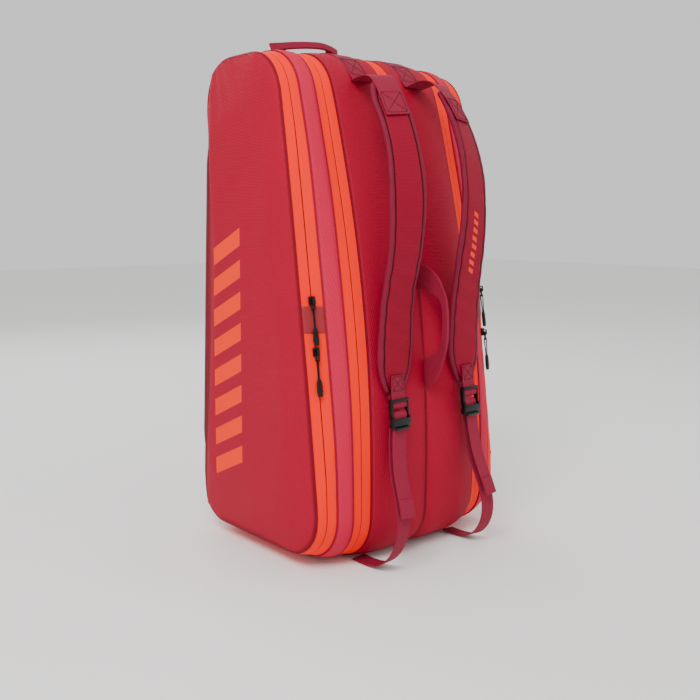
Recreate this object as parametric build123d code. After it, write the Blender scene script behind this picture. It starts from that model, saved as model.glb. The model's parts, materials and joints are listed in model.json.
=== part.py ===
from build123d import *
import math
import os

os.makedirs("parts", exist_ok=True)

# Frame: origin on the floor at the middle of the base, +Z up. The strap side faces -Y, the two
# big faces of the outer pockets face -X and +X. The bag mirrors about X = 0. Millimetres.

# --- Driving dimensions -----------------------------------------------------------------------
HEIGHT = 762.0              # 30 inch bag, for rackets up to 700 mm
FRONT_FOOT_Y = -176.0       # strap side of the outline at the floor
FRONT_HEAD_Y = -68.0        # and at the top
REAR_FOOT_Y = 176.0
REAR_HEAD_Y = 128.0
CORNER_RADII = (74.0, 80.0, 82.0, 82.0)   # front foot, front head, rear head, rear foot
LEAN = 0.031                # share of its distance from the middle that a zip loses at the top
WALL = 5.0                  # foam laminate of the outer panels
DIVIDER_WALL = 4.0          # foam laminate of the walls between compartments

MAIN_ZIP_X = 125.0          # plane of the main compartment's zip
POCKET_ZIP_X = 180.0        # plane of the outer pocket's zip
ZIP_GAP = 1.0               # from the plane of a zip to the edge of each tape: the coil
TAPE = 13.0                 # visible width of one zip tape
TAPE_THICK = 2.5
TAPE_RECESS = 1.0           # tape face below the panels' face
DIVIDER_X = 60.0
POCKET_WALL_X = 150.0
CENTRE_ZIP_LOW = 690.0      # the centre zip runs over the top down to this height

# Shape across the bag: distance from the middle, then how far the front stands out, the front
# edge's bow, and how far the rear, the foot and the head are drawn in.
SHAPE = (
    (0, 5, 43, 0, 0, 1),
    (16, 9, 43, 0, 0, 0),
    (45, 10, 43, 0, 0, -1),
    (75, 10, 43, 0, 0, -1),
    (MAIN_ZIP_X - TAPE - ZIP_GAP, 2, 43, 0, 0, 0),
    (MAIN_ZIP_X, 0, 43, 0, 0, 0),
    (152, 3, 24, 1, 6, -1),
    (166, 3, 14, 2, 9, -1),
    (POCKET_ZIP_X, 3, 8, 3, 13, 0),
    (POCKET_ZIP_X + TAPE + ZIP_GAP, -1, 7, 5, 16, 3),
    (200, -5, 7, 9, 21, 8),
    (204, -14, 7, 15, 28, 16),
    (206, -28, 7, 28, 42, 28),
)
SHELL_X = 206.0             # flat of the pocket's face

# Straps and handles
STRAP_X = 53.0              # middle of the anchor webbing
WEBBING = 38.0
WEBBING_THICK = 2.0
PAD_WIDTH = 66.0
PAD_THICK = 10.0
NARROW_WEBBING = 25.0
LADDER_BARS = ((-201.0, 247.0), (-204.0, 233.0), (-204.0, 219.0))   # y and z of the buckle's bars
BAR_RADIUS = 1.9
BUCKLE_X = 76.0
PAD_FOOT_Z = 262.0
HANDLE_AXIS = (72.0, 763.5)    # y and z of the top handle's hinge line

# Zip sliders and pulls
PULL_TAB = 14.4
PULL_CORD = 25.0
PULL_GRIP = 25.0
CORD_DIAMETER = 1.8
GARAGE = (354.0, 391.0)     # heights between which the zip garage covers the pocket zip


# --- Outline of the bag across its width ------------------------------------------------------
def shape_at(x):
    """Front stand-out, bow, and rear, foot and head draw-in at distance x from the middle."""
    x = abs(x)
    for low, high in zip(SHAPE, SHAPE[1:]):
        if x <= high[0]:
            t = (x - low[0]) / (high[0] - low[0])
            return [a + t * (b - a) for a, b in zip(low[1:], high[1:])]
    return list(SHAPE[-1][1:])


def front_y(x, z, inset=0.0):
    """Y of the outline's front edge between its corners."""
    out, bow, _, foot, head = shape_at(x)
    t = (z - foot) / (HEIGHT - head - foot)
    straight = FRONT_FOOT_Y + (FRONT_HEAD_Y - FRONT_FOOT_Y) * z / HEIGHT
    return straight - out + inset - bow * 4 * t * (1 - t)


def section(x, inset=0.0):
    """Outline of the bag at distance x, drawn in by inset, on a plane that leans inwards."""
    out, bow, rear, foot, head = shape_at(x)
    low, high = foot + inset, HEIGHT - head - inset
    lean_y = (FRONT_HEAD_Y - FRONT_FOOT_Y) / HEIGHT
    lean_rear = (REAR_HEAD_Y - REAR_FOOT_Y) / HEIGHT
    front = [FRONT_FOOT_Y + lean_y * z - out + inset for z in (low, high)]
    back = [REAR_FOOT_Y + lean_rear * z - rear - inset for z in (low, high)]
    corners = [(front[0], low), (front[1], high), (back[1], high), (back[0], low)]
    middle = ((front[0] + front[1]) / 2 - bow, (low + high) / 2)
    edges = [ThreePointArc(corners[0], middle, corners[1])]
    edges += [Line(a, b) for a, b in zip(corners[1:], corners[2:] + corners[:1])]
    face = make_face(edges)
    taken = max(0.0, rear) + inset
    for corner, radius in zip(corners, CORNER_RADII):
        vertex = face.vertices().sort_by_distance((*corner, 0))[0]
        face = fillet(vertex, max(radius - taken, 12.0))
    plane = Plane(origin=(x, 0, 0), x_dir=(0, 1, 0), z_dir=(1, 0, LEAN * x / HEIGHT))
    return plane * face


def hull(x_low, x_high, inset=0.0):
    """Solid of the bag between two distances from the middle."""
    between = [row[0] for row in SHAPE if x_low + 0.01 < row[0] < x_high - 0.01]
    return loft([section(x, inset) for x in [x_low, *between, x_high]], ruled=True)


def ring(x_low, x_high, thick, skin=0.0):
    """Hoop of fabric round the outline, skin below its surface."""
    return hull(x_low, x_high, skin) - hull(x_low - 1, x_high + 1, skin + thick)


def prism(points):
    """Wedge across the +X half of the bag from points in Y and Z."""
    face = make_face(Polyline(*points, close=True))
    return extrude(Plane.YZ * face, amount=240)


def zip_point(x, z, depth=TAPE_RECESS):
    """Point on the front of the bag, at the plane of a zip."""
    return Vector(x * (1 - LEAN * z / HEIGHT), front_y(x, z, depth), z)


SPINE_LOW, SPINE_HIGH = (20, 150), (30, 610)
OUT_FRONT_LOW, OUT_FRONT_HIGH = (-415, -170), (-195, 994)
OUT_REAR_HIGH, OUT_REAR_LOW = (246, 994), (416, -228)
BASE = prism([SPINE_LOW, OUT_REAR_LOW, OUT_FRONT_LOW])
REAR = prism([SPINE_LOW, SPINE_HIGH, OUT_REAR_HIGH, OUT_REAR_LOW])
NOT_REAR = prism([SPINE_LOW, OUT_REAR_LOW, OUT_FRONT_LOW, OUT_FRONT_HIGH, OUT_REAR_HIGH, SPINE_HIGH])
FRONT_AND_TOP = prism([SPINE_LOW, OUT_FRONT_LOW, OUT_FRONT_HIGH, OUT_REAR_HIGH, SPINE_HIGH])
NEAR_TOP = Pos(0, 0, CENTRE_ZIP_LOW + 150) * Box(500, 700, 300)

parts = {}


def keep(name, shape):
    """Store one piece under its node name."""
    shape = shape if isinstance(shape, list) else [shape]
    solids = [solid for item in shape for solid in item.solids()]
    parts[name] = solids[0] if len(solids) == 1 else Compound(children=solids)


def keep_pair(name, shape):
    """Store a piece of the +X side, and its mirror image on the -X side."""
    keep(f"right_{name}", shape)
    keep(f"left_{name}", mirror(shape, about=Plane.YZ))


# --- Centre body ------------------------------------------------------------------------------
TAPE_START = MAIN_ZIP_X - ZIP_GAP - TAPE
MAIN_IN = MAIN_ZIP_X - ZIP_GAP
MAIN_OUT = MAIN_ZIP_X + ZIP_GAP
POCKET_IN = POCKET_ZIP_X - ZIP_GAP
POCKET_OUT = POCKET_ZIP_X + ZIP_GAP
BAND_START = MAIN_OUT + TAPE
BAND_END = POCKET_IN - TAPE
SHELL_START = POCKET_OUT + TAPE
CENTRE_TAPE = ZIP_GAP + TAPE - 2


def make_centre_body():
    zip_slot = Box(2 * CENTRE_TAPE, 700, 400)
    zip_slot = Pos(0, 0, CENTRE_ZIP_LOW + 200) * zip_slot
    wall = ring(0, TAPE_START, WALL)
    keep_pair("strap_panel", (wall & FRONT_AND_TOP) - zip_slot)
    base = wall & BASE
    keep("base_panel", base + mirror(base, about=Plane.YZ))
    rear = (ring(0, MAIN_IN, WALL) & REAR) - zip_slot
    keep("rear_panel", rear + mirror(rear, about=Plane.YZ))
    keep_pair("main_zip_inner_tape", ring(TAPE_START, MAIN_IN, TAPE_THICK, TAPE_RECESS) & NOT_REAR)
    tape = ring(ZIP_GAP, CENTRE_TAPE, TAPE_THICK, TAPE_RECESS) & NEAR_TOP
    keep("centre_zip_tapes", [tape, mirror(tape, about=Plane.YZ)])
    divider = hull(DIVIDER_X, DIVIDER_X + DIVIDER_WALL, WALL + 0.5)
    keep("dividers", [divider, mirror(divider, about=Plane.YZ)])


# --- Lids: the band with the main compartment's mouth, and the outer pocket -------------------
def make_main_lid():
    band = ring(BAND_START, BAND_END, WALL)
    for low, high in ((MAIN_OUT, BAND_START), (BAND_END, POCKET_IN)):
        band += ring(low, high, WALL) & REAR
    keep_pair("band_panel", band)
    keep_pair("main_zip_outer_tape", ring(MAIN_OUT, BAND_START, TAPE_THICK, TAPE_RECESS) & NOT_REAR)
    keep_pair("pocket_zip_inner_tape", ring(BAND_END, POCKET_IN, TAPE_THICK, TAPE_RECESS) & NOT_REAR)
    keep_pair("pocket_wall", hull(POCKET_WALL_X, POCKET_WALL_X + DIVIDER_WALL, WALL + 0.5))
    low, high = GARAGE
    slab = Pos(0, -300, (low + high) / 2) * Box(500, 500, high - low)
    keep_pair("zip_garage", ring(BAND_END + 0.5, SHELL_START - 0.5, 0.6, 0.2) & slab)


def make_pocket_lid():
    dish = hull(SHELL_START, SHELL_X) - hull(SHELL_START - 1, SHELL_X - WALL, WALL)
    hinge_strip = ring(POCKET_OUT, SHELL_START, WALL) & REAR
    keep_pair("pocket_shell", dish + hinge_strip)
    keep_pair("pocket_zip_outer_tape", ring(POCKET_OUT, SHELL_START, TAPE_THICK, TAPE_RECESS) & NOT_REAR)
    low, high = 110.0, 655.0
    ends = []
    for z in (low, high):
        y = REAR_FOOT_Y + (REAR_HEAD_Y - REAR_FOOT_Y) * z / HEIGHT - 12
        ends.append(Vector(202.5 * (1 - LEAN * z / HEIGHT), y, z))
    axis = ends[1] - ends[0]
    bead = Pos(0, 0, axis.length / 2) * Cylinder(3.0, axis.length)
    bead = Plane(origin=ends[0], z_dir=axis) * bead
    keep_pair("pocket_piping", bead - hull(SHELL_START, SHELL_X))


# --- Zip sliders and their pulls --------------------------------------------------------------
# Drawn lying in a frame of their own: X across the zip, with the tape that the slider rides on
# at -X, Y out of the bag, and the pull hanging along -Z from the bail.
PLATE_LENGTH, PLATE_WIDTH, PLATE_THICK = 13.0, 10.0, 1.8
SLIDER_CLEARANCE = 0.8
PLATE_TOP = SLIDER_CLEARANCE + PLATE_THICK
HOOK_THICK = 1.2
BAIL_MIDDLE_Z = -0.6
PULL_Y = PLATE_TOP + 2.4        # the pull's middle plane, and its hinge line through the bail
PULL_Z = -0.3
TAB_THICK = 1.4


def slider_shape():
    """Plate over both tapes, web in the coil gap, hook under one tape, and bail."""
    plate = Pos(0, PLATE_TOP - PLATE_THICK / 2, 0) * Box(PLATE_WIDTH, PLATE_THICK, PLATE_LENGTH)
    plate = fillet(plate.edges().filter_by(Axis.Y), 2.4)
    web_height = PLATE_TOP + TAPE_THICK + SLIDER_CLEARANCE + HOOK_THICK
    web = Pos(-0.3, PLATE_TOP - web_height / 2, 0) * Box(0.7, web_height, PLATE_LENGTH - 5)
    hook = Pos(-1.8, PLATE_TOP - web_height + HOOK_THICK / 2, 0) * Box(4.5, HOOK_THICK, PLATE_LENGTH - 4)
    bail = Pos(0, PLATE_TOP + 2.75, BAIL_MIDDLE_Z) * Box(2.4, 6.5, 8.8)
    eye = Pos(0, PULL_Y, BAIL_MIDDLE_Z) * Box(4, 3.6, 5.6)
    return plate + web + hook + (bail - eye)


def pull_shapes():
    """Tab round the bail's bar, doubled cord, and moulded grip."""
    foot = -PULL_TAB + 0.4
    tab = Pos(0, PULL_Y, (0.5 + foot) / 2) * Box(6.4, TAB_THICK, 0.5 - foot)
    tab = fillet(tab.edges().filter_by(Axis.Y), 1.6)
    tab -= Pos(0, PULL_Y, -4.3) * Box(3.6, 4, 6.3)
    tab -= Pos(0, PULL_Y, foot + 3.0) * Box(3.6, 4, 2.8)
    grip_top = foot - PULL_CORD
    turn = 1.9
    side = [(1.0, grip_top + 0.03), (1.15, -31.0), (1.5, -22.5), (1.8, -17.0), (1.95, -14.0)]
    side.append((turn, foot + 2.75))
    route = [(0, PULL_Y + y, z) for y, z in side] + [(0, PULL_Y - y, z) for y, z in reversed(side)]
    radii = []
    for before, here, after in zip(route, route[1:], route[2:]):
        one, two = Vector(here) - Vector(before), Vector(after) - Vector(here)
        bend = math.radians(one.get_angle(two))
        radii.append(0.45 * min(one.length, two.length) / math.tan(bend / 2))
    path = FilletPolyline(*route, radius=radii)
    print("pull cord", round(path.length, 1), "mm long, radii", [round(r, 1) for r in radii])
    start = Plane(origin=path @ 0, z_dir=path % 0)
    cord = sweep(start * Circle(CORD_DIAMETER / 2), path=path)
    neck = Plane(origin=(0, PULL_Y, grip_top), z_dir=(0, 0, -1))
    grip = loft([
        neck * RectangleRounded(4.4, 4.2, 1.5),
        neck.offset(6) * RectangleRounded(7.6, 4.8, 1.8),
        neck.offset(18) * RectangleRounded(8.4, 4.8, 1.8),
        neck.offset(PULL_GRIP) * RectangleRounded(6.6, 3.8, 1.5),
    ], ruled=True)
    return tab, cord, grip


SLIDER = slider_shape()
TAB, CORD, GRIP = pull_shapes()


def place_zip_set(name, origin, up, out, droop=0.0, pair=True):
    """Slider hooked on the tape of the +X side and its pull, at a point of a zip, up its run."""
    plane = Plane(origin=origin, x_dir=Vector(*out).cross(Vector(*up)), z_dir=up)
    where = plane.location
    slider = SLIDER if plane.x_dir.X < 0 else mirror(SLIDER, about=Plane.YZ)
    hinge = Pos(0, PULL_Y, PULL_Z)
    swing = hinge * Rot(-droop, 0, 0) * hinge.inverse()
    pieces = {
        "slider": [where * slider],
        "pull": [where * swing * TAB, where * swing * GRIP],
        "pull_cord": [where * swing * CORD],
    }
    for piece, shapes in pieces.items():
        if pair:
            keep(f"right_{name}_{piece}", shapes)
            keep(f"left_{name}_{piece}", [mirror(shape, about=Plane.YZ) for shape in shapes])
        else:
            keep(f"{name}_{piece}", shapes)


def zip_run(x, low, high):
    """Direction of a zip's run between two heights, and the way out of the bag from it."""
    run = zip_point(x, high) - zip_point(x, low)
    across = zip_point(x + TAPE, low) - zip_point(x - TAPE, low)
    across += zip_point(x + TAPE, high) - zip_point(x - TAPE, high)
    return run.normalized(), across.cross(run).normalized()


def make_zip_sets():
    place_zip_set("pocket_zip_upper", zip_point(POCKET_ZIP_X, 399), *zip_run(POCKET_ZIP_X, 399, 539))
    place_zip_set("pocket_zip_lower", zip_point(POCKET_ZIP_X, 327), *zip_run(POCKET_ZIP_X, 187, 327))
    rearwards, upwards = (0, -1, 0), (0, 0, 1)
    top = HEIGHT - TAPE_RECESS
    main = (MAIN_ZIP_X * (1 - LEAN), 42, top)
    place_zip_set("main_zip", main, rearwards, upwards, droop=2)
    place_zip_set("centre_zip", (0, 42, top - 1), rearwards, upwards, droop=2, pair=False)


# --- Webbing, shoulder straps and handles -----------------------------------------------------
def band(points, thick):
    """Side view in Y and Z of a strap along points, as a closed face on the YZ plane."""
    line = Spline(*[(y, z) for y, z in points])
    count = len(points) * 2
    sides = []
    for sign in (1, -1):
        side = []
        for i in range(count + 1):
            t = i / count
            tangent = line % t
            side.append(line @ t + Vector(-tangent.Y, tangent.X) * (sign * thick / 2))
        sides.append(side)
    first, second = sides
    edges = [Spline(*first), Line(first[-1], second[-1]), Spline(*second), Line(first[0], second[0])]
    return Plane.YZ * make_face(edges)


def strap_piece(points, thick, width, x_middle):
    """Webbing of the +X side along points, width across."""
    return Pos(x_middle - width / 2, 0, 0) * extrude(band(points, thick), amount=width)


PAD_LINE = [(-150, 704), (-167, 680), (-183, 658), (-200, 620), (-211, 580), (-214, 540), (-210, 480),
            (-201, 435), (-195, 400), (-192.5, 355), (-192.5, 310), (-194, PAD_FOOT_Z)]


def make_strap_anchor():
    region = prism([(68, 700), (68, 800), (-200, 800), (-200, 717), (60, 717)])
    strip = ring(STRAP_X - WEBBING / 2, STRAP_X + WEBBING / 2, WEBBING_THICK, -WEBBING_THICK - 0.2)
    keep_pair("anchor_webbing", strip & region)


def half_turn(y, z, inner, thick, side):
    """Webbing's half turn over (side 1) or under (side -1) a bar, as a face on the YZ plane."""
    ring_face = Circle(inner + thick) - Circle(inner)
    half = Pos(0, side * (inner + thick)) * Rectangle(4 * (inner + thick), 2 * (inner + thick))
    return Plane.YZ * (Pos(y, z) * (ring_face & half))


def make_shoulder_strap():
    loop = [(-99, 713), (-111, 717), (-127, 720), (-145, 716), (-159, 704), (-173.5, 684), (-190, 660)]
    keep_pair("strap_webbing", strap_piece(loop, WEBBING_THICK, WEBBING, STRAP_X + 4))
    pad = strap_piece(PAD_LINE, PAD_THICK, 140, 70)
    # middle and half width of the pad at each height
    widths = ((60, 28, 720), (66, 28, 680), (69, 30, 600), (69, 31, 480), (72, 33, 360), (73, 33, 310),
              (76, 14, PAD_FOOT_Z - 4))
    left, right = ([(middle + s * half, z) for middle, half, z in widths] for s in (-1, 1))
    outline = make_face([Spline(*right), Line(right[-1], left[-1]), Spline(*left), Line(right[0], left[0])])
    outline = extrude(Plane.XZ * outline, amount=300)
    keep_pair("shoulder_pad", pad & outline)


def make_buckle():
    (top_y, top_z), _, _ = LADDER_BARS
    thick, inner = 1.4, 2.9
    middle = inner + thick / 2
    front = strap_piece([(-200.3, 288), (-200.8, 272), (-203.5, 259), (top_y - middle, top_z)],
                        thick, NARROW_WEBBING, BUCKLE_X)
    rear = strap_piece([(top_y + middle, top_z), (-196.2, 254), (-195.5, PAD_FOOT_Z - 1)],
                       thick, NARROW_WEBBING, BUCKLE_X)
    turn = extrude(half_turn(top_y, top_z, inner, thick, -1), amount=NARROW_WEBBING)
    turn = Pos(BUCKLE_X - NARROW_WEBBING / 2, 0, 0) * turn
    keep_pair("buckle_loop", front + turn + rear)
    buckle = Part()
    for side in (-1, 1):
        rail = Pos(BUCKLE_X + side * 17, -203.5, 233) * Box(4, 8, 37)
        buckle += fillet(rail.edges().filter_by(Axis.X), 2)
    for bar_y, bar_z in LADDER_BARS:
        buckle += Pos(BUCKLE_X, bar_y, bar_z) * Rot(0, 90, 0) * Cylinder(BAR_RADIUS, 33)
    keep_pair("ladder_lock", buckle)


def make_lower_webbing():
    _, (bar_y, bar_z), _ = LADDER_BARS
    thick, inner = 1.6, 3.25
    middle = inner + thick / 2
    main = [(-141, 3.4), (-165, 1.6), (-203, 11), (-226, 38), (-235, 70), (-228, 105), (-209, 145),
            (-200.8, 185), (bar_y + middle, bar_z)]
    tail = [(bar_y - middle, bar_z), (-208.2, 200), (-216, 150), (-230, 118), (-240, 90)]
    strands = strap_piece(main, thick, NARROW_WEBBING, 0) + strap_piece(tail, thick, NARROW_WEBBING, 0)
    turn = extrude(half_turn(bar_y, bar_z, inner, thick, 1), amount=NARROW_WEBBING)
    webbing = strands + Pos(-NARROW_WEBBING / 2, 0, 0) * turn
    keep_pair("lower_webbing", Pos(BUCKLE_X, 0, bar_z) * Rot(0, -5.6, 0) * Pos(0, 0, -bar_z) * webbing)


def make_top_handle():
    y, z = HANDLE_AXIS
    leg = band([(y, z), (y + 15, z + 8), (y + 32, z + 21), (y + 39, z + 38)], WEBBING_THICK)
    leg = extrude(leg, amount=WEBBING)
    grip = Pos(0, y + 38, z + 28.5) * Box(2 * STRAP_X + WEBBING - 8, 5, 18)
    grip = fillet(grip.edges().filter_by(Axis.X), 2)
    handle = grip
    for side in (-1, 1):
        handle += Pos(side * STRAP_X - WEBBING / 2, 0, 0) * leg
    keep("top_handle", handle)


def make_carry_handle():
    upper, lower, reach = (412, 449), (256, 294), 50
    seam = [(front_y(0, z) - 2.2, z) for z in (*lower, *upper)]
    bar = front_y(0, 350) - reach
    corners = [seam[3], (seam[3][0] - 12, upper[1] - 4), (bar - 6, 402), (bar - 6, 312),
               (seam[0][0] - 14, lower[0] + 4), seam[0], seam[1], (bar + 8, 322), (bar + 8, 394), seam[2]]
    plate = extrude(Plane.YZ * make_face(Polyline(*corners, close=True)), amount=1.6, both=True)
    grip = Pos(0, bar + 1, 357) * Box(8, 14, 88)
    keep("carry_handle", plate + fillet(grip.edges().filter_by(Axis.Z), 3))


make_centre_body()
make_main_lid()
make_pocket_lid()
make_zip_sets()
make_strap_anchor()
make_shoulder_strap()
make_buckle()
make_lower_webbing()
make_top_handle()
make_carry_handle()

for name, shape in parts.items():
    export_step(shape, f"parts/{name}.step")
print(len(parts), "nodes")
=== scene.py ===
import json
import math

import bpy
import numpy as np
from mathutils import Matrix, Vector


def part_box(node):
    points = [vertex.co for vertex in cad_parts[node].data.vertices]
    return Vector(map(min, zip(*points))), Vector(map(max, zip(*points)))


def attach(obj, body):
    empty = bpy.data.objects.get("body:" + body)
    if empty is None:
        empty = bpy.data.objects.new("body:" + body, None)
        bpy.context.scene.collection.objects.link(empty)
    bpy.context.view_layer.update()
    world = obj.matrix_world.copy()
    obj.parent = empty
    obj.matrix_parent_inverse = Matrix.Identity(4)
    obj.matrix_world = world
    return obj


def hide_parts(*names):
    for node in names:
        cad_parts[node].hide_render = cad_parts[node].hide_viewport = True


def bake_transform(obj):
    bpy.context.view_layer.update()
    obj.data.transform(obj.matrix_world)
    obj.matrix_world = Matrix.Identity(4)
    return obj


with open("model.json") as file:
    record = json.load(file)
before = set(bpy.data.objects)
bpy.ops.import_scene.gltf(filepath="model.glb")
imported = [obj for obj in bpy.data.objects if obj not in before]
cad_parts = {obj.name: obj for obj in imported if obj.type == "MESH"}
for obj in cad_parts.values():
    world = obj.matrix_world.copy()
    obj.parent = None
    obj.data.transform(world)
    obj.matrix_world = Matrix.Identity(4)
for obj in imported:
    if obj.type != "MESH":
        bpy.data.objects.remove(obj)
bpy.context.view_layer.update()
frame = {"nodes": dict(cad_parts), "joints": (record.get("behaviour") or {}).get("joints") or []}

SIDES = {"left": -1, "right": 1}

# --- Studio ---------------------------------------------------------------------------------------
# The bag stands on a seamless pale floor in a white studio. A large soft light hangs above and
# in front on the left, a weaker one fills from the right, and the room itself is white.
bpy.ops.object.select_all(action="DESELECT")
bpy.ops.mesh.primitive_plane_add(size=16, location=(0, 0, 0))
floor = bpy.context.object
floor.name = "studio_floor"


def linear(hex_colour):
    """An sRGB hex colour as the linear RGBA that shaders take."""
    parts = [int(hex_colour[i:i + 2], 16) / 255 for i in (1, 3, 5)]
    return [c / 12.92 if c <= 0.04045 else ((c + 0.055) / 1.055) ** 2.4 for c in parts] + [1.0]


def add(material, kind, inputs=None, **settings):
    """Adds a node, with its settings, and with values or other nodes' outputs on its inputs."""
    tree = material.node_tree
    new = tree.nodes.new("ShaderNode" + kind)
    for key, value in settings.items():
        setattr(new, key, value)
    for socket, value in (inputs or {}).items():
        if isinstance(value, bpy.types.NodeSocket):
            tree.links.new(value, new.inputs[socket])
        else:
            new.inputs[socket].default_value = value
    return new.outputs[0] if new.outputs else new


def new_material(name, colour, roughness, **shader):
    """A material with its Principled shader set, and that shader."""
    material = bpy.data.materials.new(name)
    material.use_nodes = True
    principled = material.node_tree.nodes["Principled BSDF"]
    principled.inputs["Base Color"].default_value = linear(colour)
    principled.inputs["Roughness"].default_value = roughness
    for key, value in shader.items():
        principled.inputs[key.replace("_", " ")].default_value = value
    return material, principled


paper, _ = new_material("studio_paper", "#F4F3F1", 0.9)
floor.data.materials.append(paper)

world = bpy.data.worlds.new("white_room")
bpy.context.scene.world = world
world.use_nodes = True
world.node_tree.nodes["Background"].inputs["Color"].default_value = (1, 1, 1, 1)
world.node_tree.nodes["Background"].inputs["Strength"].default_value = 0.9

AIM = Vector((0, 0, 0.40))
for name, place, size, power in (
    ("key_light", (-1.7, -1.2, 2.5), 1.3, 70),
    ("fill_light", (1.9, -1.6, 1.5), 1.6, 8),
    ("back_light", (0.4, 2.2, 1.9), 1.6, 24),
):
    light = bpy.data.lights.new(name, "AREA")
    light.size = size
    light.energy = power
    lamp = bpy.data.objects.new(name, light)
    bpy.context.collection.objects.link(lamp)
    lamp.location = place
    lamp.rotation_euler = (AIM - Vector(place)).to_track_quat("-Z", "Y").to_euler()

lens = bpy.data.cameras.new("camera")
lens.sensor_width = 36
lens.lens = 46.29
camera = bpy.data.objects.new("camera", lens)
bpy.context.collection.objects.link(camera)
camera.location = (-0.965, -1.1327, 0.5146)
camera.rotation_euler = (math.radians(90 - 8.3), 0, math.radians(-40.6))
bpy.context.scene.camera = camera

# --- Body of the bag ------------------------------------------------------------------------------
# Foam laminate: embossed polyester outside, 4 mm foam, thin lining. The panels are cut flat, sewn
# together with the zips between them and turned, so they swell a little between their seams.
HEIGHT = 0.762
LEAN = 0.031                 # share of its distance from the middle that a seam loses at the top
VOXEL = 0.006
MAIN_ZIP, POCKET_ZIP = 0.125, 0.180
GAP, TAPE = 0.001, 0.013
CENTRE_ZIP_LOW, CENTRE_TAPE = 0.690, 0.012
LAMINATE, TURNED_EDGE = 0.0045, 0.0012
REAR_FOLD = TAPE - 0.0015    # how far beside its rear seam a lid's fabric would fold; worked out but not applied
EMBOSS = 0.0042              # pitch of the woven dots, a little coarse so that they show
ORANGE_INK = "#FF3000"
SIDE_FROM, SIDE_PULL = 0.188, 0.36       # the shells' flat sides draw in past this distance
REAR_FROM, REAR_PULL = 0.095, 0.13       # and the rear panel past this one


def solo(piece):
    """Makes this object the only selected one, and the active one."""
    if bpy.context.object and bpy.context.object.mode != "OBJECT":
        bpy.ops.object.mode_set(mode="OBJECT")
    bpy.ops.object.select_all(action="DESELECT")
    piece.select_set(True)
    bpy.context.view_layer.objects.active = piece


def copy_mesh(name, *sources):
    """A new object with the meshes of others, joined."""
    copies = []
    for source in sources:
        piece = bpy.data.objects.new(name, source.data.copy())
        piece.data.materials.clear()
        bpy.context.collection.objects.link(piece)
        copies.append(piece)
    solo(copies[0])
    for piece in copies:
        piece.select_set(True)
    if len(copies) > 1:
        bpy.ops.object.join()
    piece = bpy.context.object
    piece.name = name
    solo(piece)
    return piece


def modify(piece, kind, **settings):
    """Adds a modifier and applies it."""
    solo(piece)
    modifier = piece.modifiers.new(kind.title(), kind)
    for key, value in settings.items():
        setattr(modifier, key, value)
    bpy.ops.object.modifier_apply(modifier=modifier.name)


def points_of(piece):
    """The piece's vertices as rows of X, Y and Z."""
    rows = np.empty(len(piece.data.vertices) * 3)
    piece.data.vertices.foreach_get("co", rows)
    return rows.reshape(-1, 3)


def move_points(piece, rows):
    """Puts the piece's vertices at these places."""
    piece.data.vertices.foreach_set("co", np.ascontiguousarray(rows).ravel())
    piece.data.update()


def from_middle(rows):
    """Distance of each point from the bag's middle, as at the floor, before the seams lean in."""
    return np.abs(rows[:, 0]) / (1 - LEAN * rows[:, 2] / HEIGHT)


def at_rear(rows):
    """Which points are on the rear panel, behind the two corner seams."""
    y, z = rows[:, 1], rows[:, 2]
    below_top = (y - 0.030) * 0.384 > (z - 0.610) * 0.216
    above_base = (y - 0.020) * 0.378 + (z - 0.150) * 0.396 > 0
    return below_top & above_base & (y > 0.02)


def inflate(piece, held, pressure, cap):
    """Blows the fabric up a little between its seams. held gives how firmly each point is sewn."""
    start = points_of(piece)
    seams = piece.vertex_groups.new(name="sewn")
    for index in np.nonzero(held > 0)[0]:
        seams.add([int(index)], float(held[index]), "REPLACE")
    solo(piece)
    cloth = piece.modifiers.new("Cloth", "CLOTH")
    cloth.settings.use_pressure = True
    cloth.settings.uniform_pressure_force = pressure
    cloth.settings.effector_weights.gravity = 0
    cloth.settings.vertex_group_mass = "sewn"
    cloth.settings.quality = 4
    for step in range(1, 21):
        bpy.context.scene.frame_set(step)
    bpy.ops.object.modifier_apply(modifier="Cloth")
    bpy.context.scene.frame_set(1)
    moved = points_of(piece) - start
    far = np.linalg.norm(moved, axis=1, keepdims=True)
    move_points(piece, start + moved * cap / np.maximum(far, cap))
    piece.vertex_groups.clear()


outer_nodes = ["base_panel", "rear_panel"]
for side in SIDES:
    for part in ("strap_panel", "main_zip_inner_tape", "main_zip_outer_tape", "band_panel",
                 "pocket_zip_inner_tape", "pocket_zip_outer_tape", "pocket_shell"):
        outer_nodes.append(f"{side}_{part}")
form = copy_mesh("form", *[frame["nodes"][name] for name in outer_nodes])
bpy.ops.object.mode_set(mode="EDIT")
bpy.ops.mesh.select_all(action="SELECT")
bpy.ops.mesh.convex_hull()
bpy.ops.object.mode_set(mode="OBJECT")
form.data.remesh_voxel_size = VOXEL
bpy.ops.object.voxel_remesh()
modify(form, "SMOOTH", factor=0.5, iterations=6)

rows = points_of(form)
out = from_middle(rows)
front = rows[:, 1] < -0.02
groove = np.exp(-(rows[:, 0] / 0.010) ** 2) * front * (rows[:, 2] < CENTRE_ZIP_LOW)
rows[:, 1] += 0.005 * groove
for seam in (MAIN_ZIP, POCKET_ZIP):
    dip = np.exp(-((out - seam) / 0.022) ** 2) * ~at_rear(rows)
    middle = np.array([0, 0.0, 0.40])
    inward = (middle - rows) * (0, 1, 1)
    inward /= np.linalg.norm(inward, axis=1, keepdims=True)
    rows += inward * (dip * 0.003)[:, None]
wing = np.clip(np.abs(rows[:, 0]) - SIDE_FROM, 0, None)
rows[:, 0] -= np.sign(rows[:, 0]) * wing * SIDE_PULL
rows[:, 1] -= np.clip(rows[:, 1] - REAR_FROM, 0, None) * REAR_PULL
lean = np.clip((from_middle(rows) - 0.180) / 0.016, 0, 1) * np.clip((0.42 - rows[:, 2]) / 0.2, 0, 1)
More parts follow.
